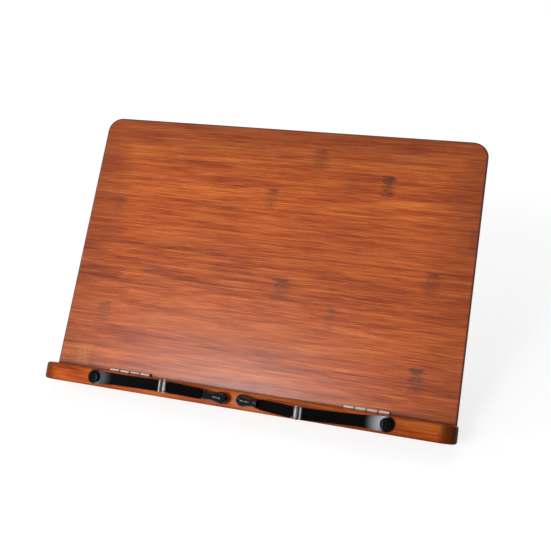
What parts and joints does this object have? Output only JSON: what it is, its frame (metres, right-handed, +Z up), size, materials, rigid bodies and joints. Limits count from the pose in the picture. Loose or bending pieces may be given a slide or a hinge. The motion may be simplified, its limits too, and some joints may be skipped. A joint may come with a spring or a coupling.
{
  "type": "folding reading stand",
  "caption": "Folding bamboo book stand: leaning back board, fold-up ledge with sprung page clips, hinged rear strut and wire bail.",
  "frame": {"origin": "centre of the bounding box's bottom face, which is the surface that the stand is on", "axes": "+X to the reader's right along the ledge, +Y away from the reader, +Z up; the board faces -Y and leans back 36 degrees"},
  "size_m": [0.3426, 0.1872, 0.1987],
  "materials": {
    "board_bamboo": "satin lacquered carbonised bamboo",
    "ledge_bamboo": "satin lacquered carbonised bamboo",
    "strut_bamboo": "satin lacquered carbonised bamboo",
    "hinge_steel": "bright plated steel",
    "bright_screws": "bright plated steel",
    "black_enamel": "semi-gloss black",
    "black_fittings": "satin black",
    "black_wire": "satin black",
    "boot_rubber": "glossy black dip",
    "spring_steel": "bare",
    "washer_plastic": "matt"
  },
  "bodies": {
    "board": {"back_board": "board_bamboo", "ledge_hinge_board_screws": "bright_screws", "strut_hinge_board_screws": "bright_screws", "saddle_screws": "bright_screws", "ledge_hinge_left_board_leaf": "hinge_steel", "ledge_hinge_left_pin": "hinge_steel", "strut_hinge_left_board_leaf": "hinge_steel", "strut_hinge_left_pin": "hinge_steel", "bail_saddle_left": "black_fittings", "ledge_hinge_right_board_leaf": "hinge_steel", "ledge_hinge_right_pin": "hinge_steel", "strut_hinge_right_board_leaf": "hinge_steel", "strut_hinge_right_pin": "hinge_steel", "bail_saddle_right": "black_fittings"},
    "ledge": {"book_ledge": "ledge_bamboo", "ledge_hinge_ledge_screws": "bright_screws", "ledge_hinge_left_ledge_leaf": "hinge_steel", "clip_left_pivot_screw": "black_fittings", "clip_left_washer": "washer_plastic", "ledge_hinge_right_ledge_leaf": "hinge_steel", "clip_right_pivot_screw": "black_fittings", "clip_right_washer": "washer_plastic"},
    "strut": {"strut": "strut_bamboo", "strut_hinge_strut_screws": "bright_screws", "strut_hinge_left_strut_leaf": "hinge_steel", "strut_hinge_right_strut_leaf": "hinge_steel"},
    "bail": {"wire_bail": "black_wire"},
    "clip_left": {"clip_left_lower_arm": "black_enamel", "clip_left_knee_pin": "spring_steel", "clip_left_knee_spring": "spring_steel"},
    "clip_left_tip": {"clip_left_upper_arm": "black_enamel", "clip_left_boot": "boot_rubber"},
    "clip_right": {"clip_right_lower_arm": "black_enamel", "clip_right_knee_pin": "spring_steel", "clip_right_knee_spring": "spring_steel"},
    "clip_right_tip": {"clip_right_upper_arm": "black_enamel", "clip_right_boot": "boot_rubber"}
  },
  "joints": [
    {"name": "ledge_fold", "type": "hinge", "parent": "board", "child": "ledge", "pos_m": [0, -0.05265, 0.01656], "axis": [-1, 0, 0], "range_deg": [0, 92]},
    {"name": "strut_fold", "type": "hinge", "parent": "board", "child": "strut", "pos_m": [0, 0.03759, 0.11858], "axis": [-1, 0, 0], "range_deg": [0, 58]},
    {"name": "bail_fold", "type": "hinge", "parent": "board", "child": "bail", "pos_m": [0, -0.02714, 0.02964], "axis": [1, 0, 0], "range_deg": [0, 46.98]},
    {"name": "clip_left_swing", "type": "hinge", "parent": "ledge", "child": "clip_left", "pos_m": [-0.1192, -0.07644, 0.02356], "axis": [0, 0.8446, -0.5354], "range_deg": [-115, 0]},
    {"name": "clip_left_knee_open", "type": "hinge", "parent": "clip_left", "child": "clip_left_tip", "pos_m": [-0.05333, -0.08723, 0.03268], "axis": [0.0291, -0.5352, -0.8442], "range_deg": [0, 60], "stiffness_Nm_per_rad": 0.08, "springref_deg": -20.05},
    {"name": "clip_right_swing", "type": "hinge", "parent": "ledge", "child": "clip_right", "pos_m": [0.1192, -0.07644, 0.02356], "axis": [0, -0.8446, 0.5354], "range_deg": [-115, 0]},
    {"name": "clip_right_knee_open", "type": "hinge", "parent": "clip_right", "child": "clip_right_tip", "pos_m": [0.05333, -0.08929, 0.02943], "axis": [-0.0291, 0.5352, 0.8442], "range_deg": [0, 60], "stiffness_Nm_per_rad": 0.08, "springref_deg": -20.05}
  ],
  "couplings": [
    {"joint": "bail_fold", "follows": "strut_fold", "ratio": 0.81}
  ]
}
